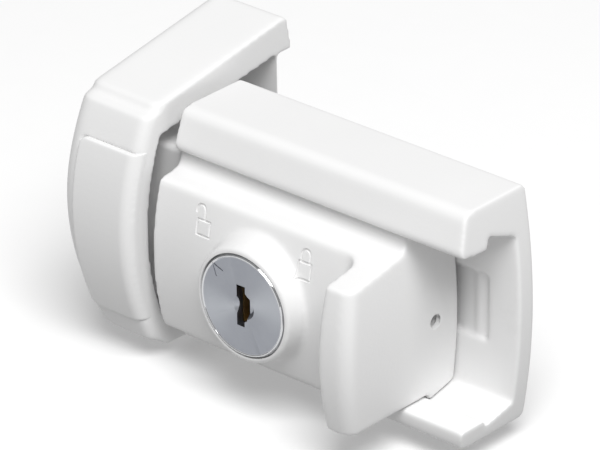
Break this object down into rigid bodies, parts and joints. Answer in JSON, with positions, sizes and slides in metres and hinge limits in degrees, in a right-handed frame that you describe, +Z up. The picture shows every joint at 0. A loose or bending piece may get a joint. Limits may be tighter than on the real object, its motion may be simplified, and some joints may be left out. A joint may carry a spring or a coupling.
{
  "type": "keyed sliding bolt lock with keeper",
  "caption": "Surface-mounted keyed bolt lock: a grip slider in a channel base throws a bolt into a separate deep keeper, and a quarter turn of the plug locks it.",
  "frame": {"origin": "the middle of the base's flat mounting face", "axes": "+X along the slide, away from the keeper; +Y into the leaf that the base is screwed to; +Z up, towards the wide lip"},
  "size_m": [0.0856, 0.0478, 0.054],
  "materials": {
    "white_powder_coat": "satin white powder coat on a zinc die casting",
    "satin_chrome": "satin face with turning marks and a bright rim",
    "zinc_steel": "zinc-plated steel",
    "brass": "plain turned brass",
    "natural_nylon": "natural nylon"
  },
  "bodies": {
    "base": {"base_housing": "white_powder_coat", "travel_stop_pin": "zinc_steel", "keeper_housing": "white_powder_coat", "keeper_cover": "white_powder_coat"},
    "slider": {"slider_housing": "white_powder_coat", "slider_back_plate": "zinc_steel", "back_plate_screw_1": "zinc_steel", "back_plate_screw_2": "zinc_steel", "back_plate_screw_3": "zinc_steel", "back_plate_screw_4": "zinc_steel", "cylinder_body": "brass", "cylinder_grub_screw": "zinc_steel", "friction_plunger": "natural_nylon", "plunger_spring": "zinc_steel"},
    "plug": {"plug_cap": "satin_chrome", "plug_core": "brass", "wafer_1": "brass", "wafer_2": "brass", "wafer_3": "brass", "wafer_4": "brass", "wafer_spring_1": "zinc_steel", "wafer_spring_2": "zinc_steel", "wafer_spring_3": "zinc_steel", "wafer_spring_4": "zinc_steel", "drive_cam": "zinc_steel"},
    "bar": {"locking_bar": "zinc_steel"}
  },
  "joints": [
    {"name": "bolt_slide", "type": "slide", "parent": "base", "child": "slider", "axis": [1, 0, 0], "range_m": [0, 0.012]},
    {"name": "plug_turn", "type": "hinge", "parent": "slider", "child": "plug", "pos_m": [-0.00765, -0.0273, -0.00355], "axis": [0, 1, 0], "range_deg": [0, 90]},
    {"name": "bar_lift", "type": "slide", "parent": "slider", "child": "bar", "axis": [0, 0, 1], "range_m": [0, 0.0051]}
  ],
  "couplings": [
    {"joint": "bar_lift", "follows": "plug_turn", "m_per_rad": 0.003241}
  ]
}
